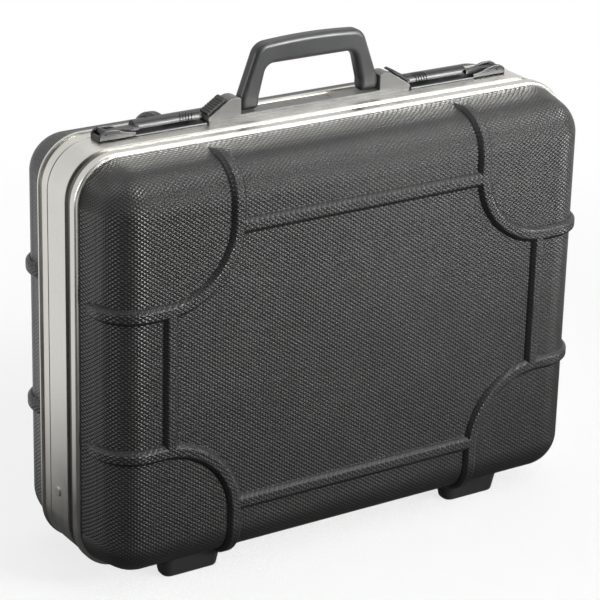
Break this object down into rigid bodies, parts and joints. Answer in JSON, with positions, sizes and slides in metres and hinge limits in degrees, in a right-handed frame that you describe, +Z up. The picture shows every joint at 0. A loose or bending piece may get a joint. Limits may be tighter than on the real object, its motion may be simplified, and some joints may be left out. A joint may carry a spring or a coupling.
{
  "type": "hard tool case",
  "caption": "Hard tool case with two ribbed moulded shells in aluminium rails, a bottom-hinged rear shell with stays, lever latches on top and a folding handle.",
  "frame": {"origin": "on the ground, below the middle of the closed case standing on its feet", "axes": "+X along the handle to the right as seen from the front, +Y to the back, where the lid is, +Z up"},
  "size_m": [0.47, 0.1708, 0.4248],
  "materials": {
    "shell": "satin, fine pyramid emboss",
    "rail": "satin anodised, brighter rolled lips",
    "steel": "brushed",
    "rivet": "satin",
    "foot": "matt",
    "base": "satin",
    "handle": "satin",
    "latch": "satin black",
    "button": "satin, grooved",
    "seal": "matt"
  },
  "bodies": {
    "case_front": {"front_shell": "shell", "front_rail": "rail", "front_splice": "steel", "front_feet": "foot", "base_plate": "latch", "handle_base": "base", "handle_pins": "steel", "right_latch_base": "latch", "left_latch_base": "latch", "lever_pins": "steel", "front_hinge_leaves": "steel", "hinge_pins": "steel", "stay_front_pins": "rivet"},
    "case_back": {"back_shell": "shell", "back_rail": "rail", "back_splice": "steel", "back_feet": "foot", "back_hinge_leaves": "steel", "right_keeper": "latch", "left_keeper": "latch", "seal": "seal", "stay_back_pins": "rivet"},
    "handle": {"handle": "handle"},
    "right_lever": {"right_lever": "latch"},
    "left_lever": {"left_lever": "latch"},
    "right_button": {"right_button": "button"},
    "left_button": {"left_button": "button"},
    "right_front_link": {"right_front_link": "steel", "right_link_rivet": "rivet"},
    "left_front_link": {"left_front_link": "steel", "left_link_rivet": "rivet"},
    "right_back_link": {"right_back_link": "steel"},
    "left_back_link": {"left_back_link": "steel"}
  },
  "joints": [
    {"name": "lid_hinge", "type": "hinge", "parent": "case_front", "child": "case_back", "pos_m": [0, 0.0156, 0.00875], "axis": [-1, 0, 0], "range_deg": [0, 95]},
    {"name": "handle_fold", "type": "hinge", "parent": "case_front", "child": "handle", "pos_m": [0, 0.00725, 0.3748], "axis": [1, 0, 0], "range_deg": [-80, 80]},
    {"name": "right_lever_pivot", "type": "hinge", "parent": "case_front", "child": "right_lever", "pos_m": [0.189, 0.00725, 0.369], "axis": [0, 1, 0], "range_deg": [-1, 75]},
    {"name": "left_lever_pivot", "type": "hinge", "parent": "case_front", "child": "left_lever", "pos_m": [-0.189, 0.00725, 0.369], "axis": [0, -1, 0], "range_deg": [-1, 75]},
    {"name": "right_button_press", "type": "slide", "parent": "case_front", "child": "right_button", "axis": [-0.5378, 0, -0.8431], "range_m": [0, 0.001], "stiffness_N_per_m": 600, "springref_m": -0.001},
    {"name": "left_button_press", "type": "slide", "parent": "case_front", "child": "left_button", "axis": [0.5378, 0, -0.8431], "range_m": [0, 0.001], "stiffness_N_per_m": 600, "springref_m": -0.001},
    {"name": "right_front_link_pivot", "type": "hinge", "parent": "case_front", "child": "right_front_link", "pos_m": [0.2255, 0.0034, 0.071], "axis": [-1, 0, 0], "range_deg": [0, 95]},
    {"name": "left_front_link_pivot", "type": "hinge", "parent": "case_front", "child": "left_front_link", "pos_m": [-0.2255, 0.0034, 0.071], "axis": [-1, 0, 0], "range_deg": [0, 95]},
    {"name": "right_back_link_pivot", "type": "hinge", "parent": "case_back", "child": "right_back_link", "pos_m": [0.2237, 0.0243, 0.07158], "axis": [-1, 0, 0], "range_deg": [-95, 0]},
    {"name": "left_back_link_pivot", "type": "hinge", "parent": "case_back", "child": "left_back_link", "pos_m": [-0.2237, 0.0243, 0.07158], "axis": [-1, 0, 0], "range_deg": [-95, 0]}
  ],
  "couplings": [
    {"joint": "right_front_link_pivot", "follows": "lid_hinge", "ratio": 1},
    {"joint": "left_front_link_pivot", "follows": "lid_hinge", "ratio": 1},
    {"joint": "right_back_link_pivot", "follows": "lid_hinge", "ratio": -1},
    {"joint": "left_back_link_pivot", "follows": "lid_hinge", "ratio": -1}
  ]
}
